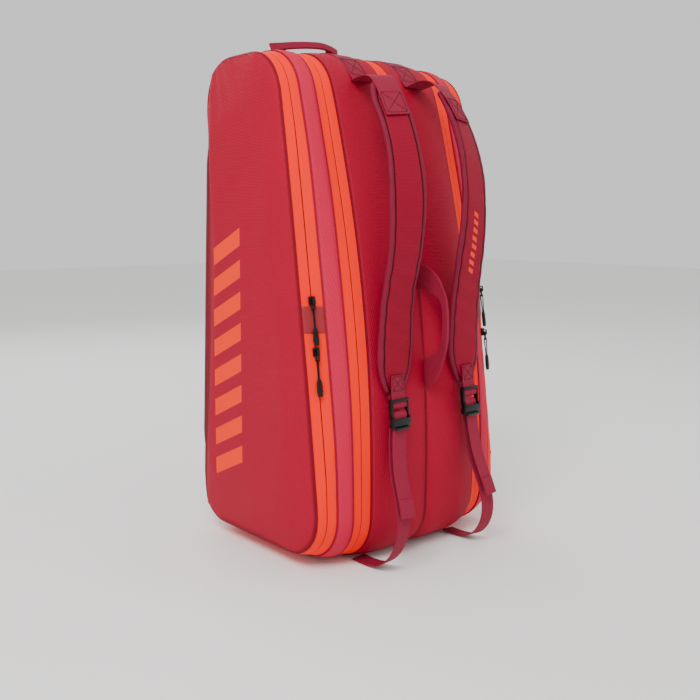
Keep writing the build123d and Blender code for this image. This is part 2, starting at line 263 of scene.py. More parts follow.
lean *= (rows[:, 0] > 0) * np.clip((0.02 - rows[:, 1]) / 0.05, 0, 1)
rows[:, :2] += lean[:, None] * (-0.005, 0.007)
move_points(form, rows)
rows = points_of(form)
out = from_middle(rows)
held = np.zeros(len(rows))
for seam in (MAIN_ZIP, POCKET_ZIP):
    held[(np.abs(out - seam) < TAPE + 0.004) & ~at_rear(rows)] = 1
held[(np.abs(rows[:, 0]) < 0.004) & (rows[:, 1] < 0)] = 1
held[rows[:, 2] < 0.004] = 1
held[(np.abs(rows[:, 0]) < CENTRE_TAPE + 0.006) & (rows[:, 2] > CENTRE_ZIP_LOW)] = 1
inflate(form, held, 4, 0.006)
rows = points_of(form)
rows[:, 2] = np.maximum(rows[:, 2], 0.0004)
move_points(form, rows)


def seam_plane(distance, sign):
    """A point on a seam's leaning plane and its outward normal."""
    normal = Vector((sign, 0, LEAN * distance / HEIGHT)).normalized()
    return (sign * distance, 0, 0), normal


def sewn_at_rear(piece, sign, distance):
    """Bakes the piece's transform into its mesh. It works out the rear seam's plane and a fold point beside
    it, but does not use them.
    """
    point, normal = seam_plane(distance, sign)
    tuple(Vector(point) + normal * REAR_FOLD)
    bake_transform(piece)
    tuple(point)


def cut(piece, point, normal, clear_inner=False, clear_outer=False):
    """Cuts the piece along a plane, and may drop what is behind it or before it."""
    solo(piece)
    bpy.ops.object.mode_set(mode="EDIT")
    bpy.ops.mesh.select_all(action="SELECT")
    bpy.ops.mesh.bisect(plane_co=point, plane_no=normal, clear_inner=clear_inner,
                        clear_outer=clear_outer, threshold=1e-6)
    bpy.ops.object.mode_set(mode="OBJECT")


def drop_faces(piece, unwanted):
    """Deletes the faces whose centres are unwanted."""
    solo(piece)
    centres = np.empty(len(piece.data.polygons) * 3)
    piece.data.polygons.foreach_get("center", centres)
    flags = unwanted(centres.reshape(-1, 3))
    bpy.ops.object.mode_set(mode="EDIT")
    bpy.ops.mesh.select_mode(type="FACE")
    bpy.ops.mesh.select_all(action="DESELECT")
    bpy.ops.object.mode_set(mode="OBJECT")
    piece.data.polygons.foreach_set("select", flags)
    bpy.ops.object.mode_set(mode="EDIT")
    bpy.ops.mesh.delete(type="FACE")
    bpy.ops.object.mode_set(mode="OBJECT")


def corner_cuts(piece):
    """Cuts along the two corner seams of the rear panel."""
    cut(piece, (0, 0.030, 0.610), Vector((0, 0.384, -0.216)).normalized())
    cut(piece, (0, 0.020, 0.150), Vector((0, 0.378, 0.396)).normalized())


def hoop(name, sign, low, high, sink=0.0):
    """The strip of the bag's skin between two distances from the middle, round front, top and base."""
    piece = copy_mesh(name, form)
    point, normal = seam_plane(low, sign)
    cut(piece, point, normal, clear_inner=True)
    if high:
        point, normal = seam_plane(high, sign)
        cut(piece, point, normal, clear_outer=True)
    if sink:
        bpy.ops.object.mode_set(mode="EDIT")
        bpy.ops.mesh.select_all(action="SELECT")
        bpy.ops.transform.shrink_fatten(value=-sink)
        bpy.ops.object.mode_set(mode="OBJECT")
    return piece


def thicken(piece, thick, edge):
    """Gives the skin its thickness, inwards, and rounds its turned edges."""
    modify(piece, "SOLIDIFY", thickness=thick, offset=-1, use_even_offset=False)
    modify(piece, "BEVEL", width=edge, segments=2, limit_method="ANGLE", angle_limit=math.radians(50))
    solo(piece)
    bpy.ops.object.shade_smooth()


def within(material, value, low, high):
    """One where the value is between the two limits, zero elsewhere."""
    above = add(material, "Math", {0: value, 1: low}, operation="GREATER_THAN")
    below = add(material, "Math", {0: value, 1: high}, operation="LESS_THAN")
    return add(material, "Math", {0: above, 1: below}, operation="MULTIPLY")


def bars(material, axes, axis, low, high, bottom, top, pitch, slant):
    """A printed column of slanted bars, low to high along one axis and bottom to top along Z."""
    climb = add(material, "Math", {0: axes[axis], 1: slant, 2: axes["Z"]}, operation="MULTIPLY_ADD")
    phase = add(material, "Math", {0: climb, 1: pitch}, operation="FLOORED_MODULO")
    inked = add(material, "Math", {0: phase, 1: pitch * 0.56}, operation="LESS_THAN")
    column = within(material, axes[axis], low, high)
    block = within(material, climb, bottom, top)
    inked = add(material, "Math", {0: inked, 1: column}, operation="MULTIPLY")
    return add(material, "Math", {0: inked, 1: block}, operation="MULTIPLY")


def raised_dots(material, first, second, pitch):
    """The height of an emboss of small dots on the diagonals of two coordinates, from -1 to 1."""
    turn = 2 * math.pi / pitch
    waves = []
    for join in ("ADD", "SUBTRACT"):
        wave = add(material, "Math", {0: first, 1: second}, operation=join)
        wave = add(material, "Math", {0: wave, 1: turn}, operation="MULTIPLY")
        waves.append(add(material, "Math", {0: wave}, operation="SINE"))
    return add(material, "Math", {0: waves[0], 1: waves[1]}, operation="MULTIPLY")


def embossed_polyester(name, colour, seams, roughness=0.62, printed=None):
    """PVC-backed polyester with a woven emboss: small raised dots on the diagonal with painted shade in
    the hollows between them, hardly any gloss, and a turned edge with a stitched groove beside each
    seam, painted dark as shade in the seam groove. printed adds bars."""
    material, principled = new_material(name, colour, roughness)
    place = add(material, "TexCoord").node.outputs["Object"]
    axes = add(material, "SeparateXYZ", {0: place}).node.outputs
    spread = add(material, "Math", {0: axes["X"], 1: axes["Y"]}, operation="ADD")
    dots = raised_dots(material, spread, axes["Z"], EMBOSS)
    grain = add(material, "TexNoise", {"Vector": place, "Scale": 900.0, "Detail": 2.0})
    height = add(material, "Math", {0: grain, 1: 0.35, 2: dots}, operation="MULTIPLY_ADD")
    side = add(material, "Math", {0: axes["X"]}, operation="ABSOLUTE")
    lean = add(material, "Math", {0: axes["Z"], 1: -LEAN / HEIGHT, 2: 1.0}, operation="MULTIPLY_ADD")
    out = add(material, "Math", {0: side, 1: lean}, operation="DIVIDE")
    edge = None
    for seam in seams:
        gap = add(material, "Math", {0: out, 1: seam}, operation="SUBTRACT")
        gap = add(material, "Math", {0: gap}, operation="ABSOLUTE")
        if seam == 0:
            gap = add(material, "Math", {0: gap, 1: axes["Y"]}, operation="MAXIMUM")
        edge = gap if edge is None else add(material, "Math", {0: edge, 1: gap}, operation="MINIMUM")
    # The fabric beside each seam is painted dark as shade in the seam groove.
    seam_shade = add(material, "MapRange", {0: edge, 1: 0.0018, 2: 0.0034, 3: 1.0, 4: 0.0})
    shade = add(material, "TexNoise", {"Vector": place, "Scale": 9.0, "Detail": 3.0})
    base, dark = linear(colour), [c * 0.45 for c in linear(colour)[:3]] + [1.0]
    light = [min(1.0, c * 1.16) for c in base[:3]] + [1.0]
    dim = [c * 0.88 for c in base[:3]] + [1.0]
    mottled = add(material, "Mix", {0: shade, 6: dim, 7: light}, data_type="RGBA").node.outputs[2]
    # The hollows between the raised dots are painted a dimmer red than their tops: painted shade.
    lifted = add(material, "MapRange", {0: dots, 1: -1.0, 2: 1.0, 3: 0.0, 4: 1.0})
    woven = add(material, "Mix", {0: lifted, 6: dim, 7: mottled}, data_type="RGBA").node.outputs[2]
    coloured = add(material, "Mix", {0: seam_shade, 6: woven, 7: dark}, data_type="RGBA").node.outputs[2]
    if printed:
        ink = add(material, "Mix", {0: bars(material, axes, *printed), 6: coloured, 7: linear(ORANGE_INK)},
                  data_type="RGBA")
        coloured = ink.node.outputs[2]
    bump = add(material, "Bump", {"Height": height, "Strength": 0.55, "Distance": 0.0004})
    groove = add(material, "MapRange", {0: edge, 1: 0.003, 2: 0.006, 3: 0.0, 4: 1.0})
    bump = add(material, "Bump", {"Height": groove, "Strength": 0.5, "Distance": 0.0015, "Normal": bump})
    links = material.node_tree.links
    links.new(coloured, principled.inputs["Base Color"])
    links.new(bump, principled.inputs["Normal"])
    principled.inputs["Specular IOR Level"].default_value = 0.14
    return material


crimson = embossed_polyester("embossed_polyester_crimson", "#A4052C", [0.0, MAIN_ZIP - GAP - TAPE])
centre = copy_mesh("centre_panels", form)
for sign in SIDES.values():
    point, normal = seam_plane(MAIN_ZIP - GAP, sign)
    cut(centre, point, normal, clear_outer=True)
    cut(centre, *seam_plane(MAIN_ZIP - GAP - TAPE, sign))
    cut(centre, (sign * CENTRE_TAPE, 0, 0), (1, 0, 0))
cut(centre, (0, 0, CENTRE_ZIP_LOW), (0, 0, 1))
corner_cuts(centre)
drop_faces(centre, lambda rows: ((from_middle(rows) > MAIN_ZIP - GAP - TAPE) & ~at_rear(rows))
           | ((np.abs(rows[:, 0]) < CENTRE_TAPE) & (rows[:, 2] > CENTRE_ZIP_LOW)))
thicken(centre, LAMINATE, TURNED_EDGE)
centre.data.materials.append(crimson)
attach(centre, "centre_body")
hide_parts("base_panel", "rear_panel", "left_strap_panel", "right_strap_panel")

# --- Bands ----------------------------------------------------------------------------------------
# The strip of laminate between the two zips of a side, all round the bag. It is the rim of the
# main compartment's lid, sewn to both zips, and is the lightest red of the three fabrics.
BAND = (MAIN_ZIP + GAP + TAPE, POCKET_ZIP - GAP - TAPE)
coral = embossed_polyester("embossed_polyester_coral", "#CC1240", BAND)
for side, sign in SIDES.items():
    band = hoop(f"{side}_band", sign, MAIN_ZIP + GAP, POCKET_ZIP - GAP)
    for distance in BAND:
        cut(band, *seam_plane(distance, sign))
    corner_cuts(band)
    drop_faces(band, lambda rows: ~at_rear(rows)
               & ((from_middle(rows) < BAND[0]) | (from_middle(rows) > BAND[1])))
    thicken(band, LAMINATE, TURNED_EDGE)
    band.data.materials.append(coral)
    sewn_at_rear(band, sign, MAIN_ZIP + GAP)
    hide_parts(f"{side}_band_panel")

# --- Pocket shells --------------------------------------------------------------------------------
# The dished outer face of each side pocket: one padded panel, shaped over foam and turned in at
# the zip, with a column of slanted bars printed in orange up the rear half of its flat side.
SHELL = POCKET_ZIP + GAP + TAPE
PRINT = ("Y", 0.012, 0.088, 0.144, 0.528, 0.048, 0.45)
ruby = embossed_polyester("embossed_polyester_ruby", "#AA002C", [SHELL], 0.6, PRINT)
for side, sign in SIDES.items():
    shell = hoop(f"{side}_shell", sign, POCKET_ZIP + GAP, None)
    cut(shell, *seam_plane(SHELL, sign))
    corner_cuts(shell)
    drop_faces(shell, lambda rows: ~at_rear(rows) & (from_middle(rows) < SHELL))
    thicken(shell, LAMINATE, TURNED_EDGE)
    shell.data.materials.append(ruby)
    sewn_at_rear(shell, sign, POCKET_ZIP + GAP)
    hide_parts(f"{side}_pocket_shell")

# --- Zips -----------------------------------------------------------------------------------------
# Reverse-coil zips: smooth woven polyester tape in bright orange, laminated so that its coil is
# on the inside and only a fine dark line shows where the two tapes meet.
orange, principled = new_material("woven_polyester_tape_orange", "#FF1800", 0.6, Specular_IOR_Level=0.1)
place = add(orange, "TexCoord").node.outputs["Object"]
ribs = add(orange, "TexWave", {"Vector": place, "Scale": 260.0, "Distortion": 0.6}, bands_direction="X")
bump = add(orange, "Bump", {"Height": ribs, "Strength": 0.25, "Distance": 0.0002})
orange.node_tree.links.new(bump, principled.inputs["Normal"])
coil_black, _ = new_material("nylon_coil_dark", "#3A0A0C", 0.5)
TAPE_SINK, TAPE_THICK = 0.0016, 0.0016
COIL_HALF, COIL_SINK = 0.0024, 0.0044


def tape(name, sign, low, high, body, node):
    """One tape of a side's zip."""
    piece = hoop(name, sign, low, high, TAPE_SINK)
    corner_cuts(piece)
    drop_faces(piece, at_rear)
    thicken(piece, TAPE_THICK, 0.0003)
    piece.data.materials.append(orange)
    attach(piece, body)
    if node:
        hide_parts(node)
    return piece


for side, sign in SIDES.items():
    for zipper, plane, inner, outer in (
        ("main_zip", MAIN_ZIP, "centre_body", f"{side}_main_lid"),
        ("pocket_zip", POCKET_ZIP, f"{side}_main_lid", f"{side}_pocket_lid"),
    ):
        near, reach = GAP * 0.6, GAP + TAPE + 0.0005
        tape(f"{side}_{zipper}_tape_a", sign, plane - reach, plane - near, inner,
             f"{side}_{zipper}_inner_tape")
        tape(f"{side}_{zipper}_tape_b", sign, plane + near, plane + reach, outer,
             f"{side}_{zipper}_outer_tape")
        coil = hoop(f"{side}_{zipper}_coil", sign, plane - COIL_HALF, plane + COIL_HALF, COIL_SINK)
        corner_cuts(coil)
        drop_faces(coil, at_rear)
        thicken(coil, 0.0012, 0.0002)
        coil.data.materials.append(coil_black)
        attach(coil, inner)

centre_tapes = copy_mesh("centre_zip", form)
cut(centre_tapes, (0, 0, CENTRE_ZIP_LOW), (0, 0, 1), clear_inner=True)
for sign in SIDES.values():
    cut(centre_tapes, (sign * (CENTRE_TAPE + 0.0005), 0, 0), (sign, 0, 0), clear_outer=True)
    cut(centre_tapes, (sign * GAP * 0.6, 0, 0), (1, 0, 0))
drop_faces(centre_tapes, lambda rows: np.abs(rows[:, 0]) < GAP * 0.6)
bpy.ops.object.mode_set(mode="EDIT")
bpy.ops.mesh.select_all(action="SELECT")
bpy.ops.transform.shrink_fatten(value=-TAPE_SINK)
bpy.ops.object.mode_set(mode="OBJECT")
thicken(centre_tapes, TAPE_THICK, 0.0003)
centre_tapes.data.materials.append(orange)
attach(centre_tapes, "centre_body")
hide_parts("centre_zip_tapes")

# --- Garage and piping ----------------------------------------------------------------------------
# A patch of plain crimson fabric crosses the pocket zip where its two sliders meet. A bead of
# dark red piping closes the rear edge of each pocket shell.
garage_red, principled = new_material("plain_polyester_crimson", "#900418", 0.55)
place = add(garage_red, "TexCoord").node.outputs["Object"]
grain = add(garage_red, "TexNoise", {"Vector": place, "Scale": 1400.0})
bump = add(garage_red, "Bump", {"Height": grain, "Strength": 0.3, "Distance": 0.0002})
garage_red.node_tree.links.new(bump, principled.inputs["Normal"])
maroon, principled = new_material("woven_binding_maroon", "#6C0C1E", 0.6)
place = add(maroon, "TexCoord").node.outputs["Object"]
ribs = add(maroon, "TexWave", {"Vector": place, "Scale": 180.0}, bands_direction="DIAGONAL")
bump = add(maroon, "Bump", {"Height": ribs, "Strength": 0.4, "Distance": 0.0003})
maroon.node_tree.links.new(bump, principled.inputs["Normal"])
PATCH = [corner[2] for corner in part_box("left_zip_garage")]


def smooth_curve(name, points, resolution):
    """An open smooth curve with these control points, and its curve data."""
    curve = bpy.data.curves.new(name, "CURVE")
    curve.dimensions = "3D"
    spline = curve.splines.new("NURBS")
    spline.points.add(len(points) - 1)
    for point, place in zip(spline.points, points):
        point.co = (*place, 1)
    spline.order_u = 3
    spline.use_endpoint_u = True
    curve.resolution_u = resolution
    piece = bpy.data.objects.new(name, curve)
    bpy.context.collection.objects.link(piece)
    return piece, curve


def routed(points, count):
    """Evenly spaced points, and their distance along, on a smooth curve with these control points."""
    route, _ = smooth_curve("route", points, 16)
    mesh = bpy.data.meshes.new_from_object(route)
    dense = np.array([v.co for v in mesh.vertices])
    bpy.data.objects.remove(route)
    run = np.concatenate([[0], np.cumsum(np.linalg.norm(np.diff(dense, axis=0), axis=1))])
    steps = np.linspace(0, run[-1], count)
    return np.stack([np.interp(steps, run, dense[:, k]) for k in range(3)], axis=1), steps


def tube(name, points, radius):
    """A closed round bead along a smooth curve."""
    piece, curve = smooth_curve(name, points, 12)
    curve.bevel_depth = radius
    curve.bevel_resolution = 4
    curve.use_fill_caps = True
    return piece


for side, sign in SIDES.items():
    patch = hoop(f"{side}_garage", sign, POCKET_ZIP - GAP - TAPE + 0.0004, SHELL - 0.0004, 0.0003)
    cut(patch, (0, 0, PATCH[0]), (0, 0, 1), clear_inner=True)
    cut(patch, (0, 0, PATCH[1]), (0, 0, 1), clear_outer=True)
    drop_faces(patch, lambda rows: rows[:, 1] > 0)
    thicken(patch, 0.0009, 0.0002)
    patch.data.materials.append(garage_red)
    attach(patch, f"{side}_main_lid")
    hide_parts(f"{side}_zip_garage")
    low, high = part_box(f"{side}_pocket_piping")
    spots = []
    for z in np.linspace(low[2] + 0.002, high[2] - 0.002, 15):
        y = 0.164 - 0.048 * z / HEIGHT
        found = form.closest_point_on_mesh((sign * 0.2035 * (1 - LEAN * z / HEIGHT), y, z))
        sunk = 0.0008 if low[2] + 0.01 < z < high[2] - 0.01 else 0.007
        spots.append(found[1] - found[2] * sunk)
    piping = tube(f"{side}_piping", spots, 0.003)
    solo(piping)
    bpy.ops.object.convert(target="MESH")
    piping = bpy.context.object
    bpy.ops.object.shade_smooth()
    piping.data.materials.append(maroon)
    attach(piping, f"{side}_pocket_lid")
    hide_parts(f"{side}_pocket_piping")

# --- Inner walls ----------------------------------------------------------------------------------
# Flat laminate walls between the compartments: plain grey nylon lining over foam. Two part the
# middle from the main compartments, and one a side closes the back of the outer pocket.
lining, principled = new_material("nylon_lining_grey", "#4A4A4E", 0.6)
place = add(lining, "TexCoord").node.outputs["Object"]
grain = add(lining, "TexNoise", {"Vector": place, "Scale": 1200.0})
bump = add(lining, "Bump", {"Height": grain, "Strength": 0.3, "Distance": 0.0002})
lining.node_tree.links.new(bump, principled.inputs["Normal"])


def wall(name, sign, distance):
    """A flat wall inside the bag, 4 mm thick, a little inside its skin."""
    piece = copy_mesh(name, form)
    bpy.ops.object.mode_set(mode="EDIT")
    bpy.ops.mesh.select_all(action="SELECT")
    bpy.ops.transform.shrink_fatten(value=-LAMINATE - 0.0015)
    for place, outer in ((distance, False), (distance + 0.004, True)):
        point, normal = seam_plane(place, sign)
        bpy.ops.mesh.select_all(action="SELECT")
        bpy.ops.mesh.bisect(plane_co=point, plane_no=normal, use_fill=True, clear_inner=not outer,
                            clear_outer=outer, threshold=1e-6)
    bpy.ops.object.mode_set(mode="OBJECT")
    modify(piece, "BEVEL", width=0.0012, segments=2, limit_method="ANGLE", angle_limit=math.radians(50))
    piece.data.materials.append(lining)
    return piece


dividers = [wall(f"{side}_divider", sign, 0.060) for side, sign in SIDES.items()]
for divider in dividers:
    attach(divider, "centre_body")
    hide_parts("dividers")
for side, sign in SIDES.items():
    back = wall(f"{side}_pocket_back", sign, 0.150)
    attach(back, f"{side}_main_lid")
    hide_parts(f"{side}_pocket_wall")

# --- Webbing --------------------------------------------------------------------------------------
# Polypropylene webbing, woven with fine cross ribs and a chevron, 38 mm and 25 mm wide. It is cut
# hot, folded and sewn down with box-and-cross patches in heavy thread.
RIB = 0.0022
webbing_rose, principled = new_material("woven_polypropylene_webbing_rose", "#8E2238", 0.55)
weave = add(webbing_rose, "UVMap", uv_map="UVMap")
axes = add(webbing_rose, "SeparateXYZ", {0: weave}).node.outputs
zigzag = add(webbing_rose, "Math", {0: axes["X"], 1: RIB * 2}, operation="PINGPONG")
along = add(webbing_rose, "Math", {0: axes["Y"], 1: zigzag}, operation="ADD")
ribs = add(webbing_rose, "Math", {0: along, 1: 2 * math.pi / RIB}, operation="MULTIPLY")
ribs = add(webbing_rose, "Math", {0: ribs}, operation="SINE")
ridges = add(webbing_rose, "MapRange", {0: ribs, 1: -1.0, 2: 1.0})
# The grooves between the ribs are painted darker and the rib tops lighter: painted shade and highlight.
dark, light = linear("#741028"), linear("#9C2440")
shade = add(webbing_rose, "Mix", {0: ridges, 6: dark, 7: light}, data_type="RGBA").node.outputs[2]
bump = add(webbing_rose, "Bump", {"Height": ridges, "Strength": 0.6, "Distance": 0.0004})
webbing_rose.node_tree.links.new(shade, principled.inputs["Base Color"])
webbing_rose.node_tree.links.new(bump, principled.inputs["Normal"])
principled.inputs["Specular IOR Level"].default_value = 0.12
thread, _ = new_material("bonded_nylon_thread_maroon", "#3E0812", 0.5)


def laid(rows, sign, across=(1, 0, 0)):
    """Lays a strip along control points (x, y, z, half width, twist in degrees), in millimetres,
    and returns a function that gives the point at u across, v along and a height above it."""
    rows = np.array(rows, float)
    rows[:, 0] *= sign
    centre, run = routed(rows[:, :3] / 1000, 161)
    chord = np.concatenate([[0], np.cumsum(np.linalg.norm(np.diff(rows[:, :3], axis=0), axis=1))])
    chord /= chord[-1]
    share = run / run[-1]
    half = np.interp(share, chord, rows[:, 3]) / 1000
    turn = np.radians(np.interp(share, chord, rows[:, 4])) * sign
    ahead = np.gradient(centre, axis=0)
    ahead /= np.linalg.norm(ahead, axis=1, keepdims=True)
    flat = np.array(across, float) - ahead * (ahead @ np.array(across, float))[:, None]
    flat /= np.linalg.norm(flat, axis=1, keepdims=True)
    up = np.cross(ahead, flat)
    side_way = flat * np.cos(turn)[:, None] - up * np.sin(turn)[:, None]
    up = np.cross(ahead, side_way)

    def spot(u, v, lift=0.0):
        at = np.asarray(v, float)

        def read(table):
            return np.stack([np.interp(at, share, table[:, k]) for k in range(3)], axis=-1)

        wide = np.interp(at, share, half)[..., None]
        return read(centre) + read(side_way) * wide * np.asarray(u, float)[..., None] + read(up) * lift

    spot.length = float(run[-1])
    spot.half = half
    spot.centre, spot.share, spot.side_way, spot.up = centre, share, side_way, up
    return spot


def strip(name, spot, thick, steps, lanes=4, edge=0.0004):
    """A strip of webbing of that thickness, laid by spot."""
    bpy.ops.object.select_all(action="DESELECT")
    bpy.ops.mesh.primitive_grid_add(x_subdivisions=lanes, y_subdivisions=steps, size=2)
    piece = bpy.context.object
    piece.name = piece.data.name = name
    rows = points_of(piece)
    move_points(piece, spot(rows[:, 0], (rows[:, 1] + 1) / 2))
    wide, long = 2 * float(spot.half.mean()), spot.length
    for corner in piece.data.uv_layers.active.data:
        corner.uv = (corner.uv[0] * wide, corner.uv[1] * long)
    piece.data.uv_layers.active.name = "UVMap"
    modify(piece, "SOLIDIFY", thickness=thick, offset=0)
    modify(piece, "BEVEL", width=edge, segments=2, limit_method="ANGLE", angle_limit=math.radians(50))
    solo(piece)
    bpy.ops.object.mode_set(mode="EDIT")
    bpy.ops.mesh.select_all(action="SELECT")
    bpy.ops.mesh.normals_make_consistent(inside=False)
    bpy.ops.object.mode_set(mode="OBJECT")
    bpy.ops.object.shade_smooth_by_angle(angle=math.radians(50))
    piece.data.materials.append(webbing_rose)
    return piece


def sew(name, lines, body, size=0.0004, pitch=0.0036):
    """Stitches of heavy thread along lines of points, as one piece."""
    bpy.ops.object.select_all(action="DESELECT")
    bpy.ops.mesh.primitive_cylinder_add(vertices=6, radius=size, depth=pitch * 0.72)
    piece = bpy.context.object
    piece.name = name
    one = points_of(piece)
    faces = [list(p.vertices) for p in piece.data.polygons]
    all_points, all_faces = [], []
    for line in lines:
        line = np.array(line, float)
        run = np.concatenate([[0], np.cumsum(np.linalg.norm(np.diff(line, axis=0), axis=1))])
        for at in np.arange(pitch / 2, run[-1], pitch):
            ends = [np.array([np.interp(at + d, run, line[:, k]) for k in range(3)])
                    for d in (-pitch / 3, pitch / 3)]
            way = Vector(ends[1] - ends[0])
            turned = one @ np.array(way.to_track_quat("Z", "Y").to_matrix()).T
            all_faces += [[i + len(all_points) * len(one) for i in face] for face in faces]
            all_points.append(turned + (ends[0] + ends[1]) / 2)
    mesh = bpy.data.meshes.new(name)
    mesh.from_pydata(np.concatenate(all_points).tolist(), [], all_faces)
    piece.data = mesh
    piece.data.materials.append(thread)
    bpy.ops.object.shade_smooth()
    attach(piece, body)
    return piece


def box_and_cross(spot, v_low, v_high, inset, lift, u_reach=1.0):
    """The lines of a box-and-cross patch on a laid strip, just above its face."""
    reach = u_reach - inset
    corners = [(-reach, v_low), (reach, v_low), (reach, v_high), (-reach, v_high), (-reach, v_low)]
    paths = [corners, [corners[0], corners[2]], [corners[1], corners[3]]]
    lines = []
    for path in paths:
        line = []
        for (u0, v0), (u1, v1) in zip(path, path[1:]):
            t = np.linspace(0, 1, 12)
            line.append(spot(u0 + (u1 - u0) * t, v0 + (v1 - v0) * t, lift))
        lines.append(np.concatenate(line))
    return lines


# The anchor webbing follows the top of the bag from the top handle to the front edge.
STRAP_X, WEB_THICK = 0.053, 0.0018
for side, sign in SIDES.items():
    rows = []
    for y, z in ((0.068, 0.80), (0.04, 0.80), (0.012, 0.80), (-0.016, 0.80), (-0.045, 0.79),
                 (-0.072, 0.77), (-0.100, 0.74), (-0.115, 0.722)):
        on_skin = Vector(form.closest_point_on_mesh((sign * STRAP_X, y, z))[1])
        rows.append((sign * on_skin[0] * 1000, on_skin[1] * 1000, on_skin[2] * 1000 + 1.4, 19, 0))
    rows[-1] = (rows[-1][0], -97.5, 716.5, 19, 0)
    spot = laid(rows, sign)
    anchor = strip(f"{side}_anchor", spot, WEB_THICK, 60)
    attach(anchor, "centre_body")
    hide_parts(f"{side}_anchor_webbing")
    sew(f"{side}_anchor_stitches", box_and_cross(spot, 0.72, 0.93, 0.16, 0.0012), "centre_body")

# --- Shoulder straps ------------------------------------------------------------------------------
# Contoured pads of 10 mm foam in embossed polyester, bound at both edges with rose tape. The
# top webbing arches off the bag and is sewn on the pad, and a 25 mm loop holds the buckle.
BINDING, PAD_EMBOSS = 0.0085, 0.0038
pad_red, principled = new_material("padded_polyester_pad", "#A61431", 0.5)
place = add(pad_red, "TexCoord").node.outputs["Object"]
axes = add(pad_red, "SeparateXYZ", {0: place}).node.outputs
dots = raised_dots(pad_red, axes["X"], axes["Z"], PAD_EMBOSS)
lifted = add(pad_red, "MapRange", {0: dots, 1: -1.0, 2: 1.0})
inset = add(pad_red, "Attribute", attribute_name="from_edge").node.outputs["Fac"]
# The hollows between the raised dots are painted darker than their tops: painted shade.
face = add(pad_red, "Mix", {0: lifted, 6: linear("#780020"), 7: linear("#9A082C")}, data_type="RGBA")
bound = add(pad_red, "MapRange", {0: inset, 1: BINDING - 0.0004, 2: BINDING + 0.0004, 3: 1.0, 4: 0.0})
shade = add(pad_red, "Mix", {0: bound, 6: face.node.outputs[2], 7: linear("#781830")},
            data_type="RGBA").node.outputs[2]
gap = add(pad_red, "Math", {0: inset, 1: BINDING}, operation="SUBTRACT")
gap = add(pad_red, "Math", {0: gap}, operation="ABSOLUTE")
seam = add(pad_red, "MapRange", {0: gap, 1: 0.0006, 2: 0.0018, 3: 1.0, 4: 0.0})
shade = add(pad_red, "Mix", {0: seam, 6: shade, 7: linear("#30040C")}, data_type="RGBA").node.outputs[2]
ink = bars(pad_red, axes, "X", 0.064, 0.075, 0.468, 0.564, 0.012, 0.5)
shade = add(pad_red, "Mix", {0: ink, 6: shade, 7: linear(ORANGE_INK)}, data_type="RGBA").node.outputs[2]
bump = add(pad_red, "Bump", {"Height": dots, "Strength": 0.4, "Distance": 0.0004})
pad_red.node_tree.links.new(shade, principled.inputs["Base Color"])
pad_red.node_tree.links.new(bump, principled.inputs["Normal"])
principled.inputs["Specular IOR Level"].default_value = 0.12
PAD = ((61, -151, 704, 20, 14), (64, -158, 694, 23, 15), (67, -167, 680, 26, 15),
       (67, -183, 658, 28, 15), (68, -199, 620, 29, 13), (69, -210, 580, 31, 12),
       (69, -213, 540, 32, 10), (69, -212, 500, 32, 7), (69, -207, 460, 32, 3),
       (71, -199, 420, 32, 1), (72, -194, 380, 33, 0), (72, -192.5, 340, 34, 0),
       (73, -192.5, 312, 34, -2), (74, -193, 294, 31, -2), (75, -193.5, 276, 24, -2),
       (76, -194, 263, 15, -2))
PAD_CORE = 0.0075
TOP_WEB = ((55, -97.5, 716.5, 19, 0), (57, -109, 719.5, 19, 1), (57, -126, 722, 19, 4),
           (58, -144, 718, 19, 9), (61, -158.5, 705, 19, 13), (64, -171, 690, 19, 14),
           (66, -180.5, 675, 19, 14), (67, -190, 660, 19, 14))
LOOP = ((75, -200.6, 290, 12.5, 0), (75.5, -201.2, 274, 12.5, 0), (76, -202.4, 257, 12.8, 0),
        (76, -207.4, 250, 13.4, 0), (76, -207.2, 242.5, 13.4, 0), (76, -201, 240.8, 12.8, 0),
        (76, -197.5, 243, 12.5, 0), (76, -197.2, 249, 12.5, 0), (76, -196.2, 256, 12.5, 0),
        (76, -195.6, 261, 12.5, 0))
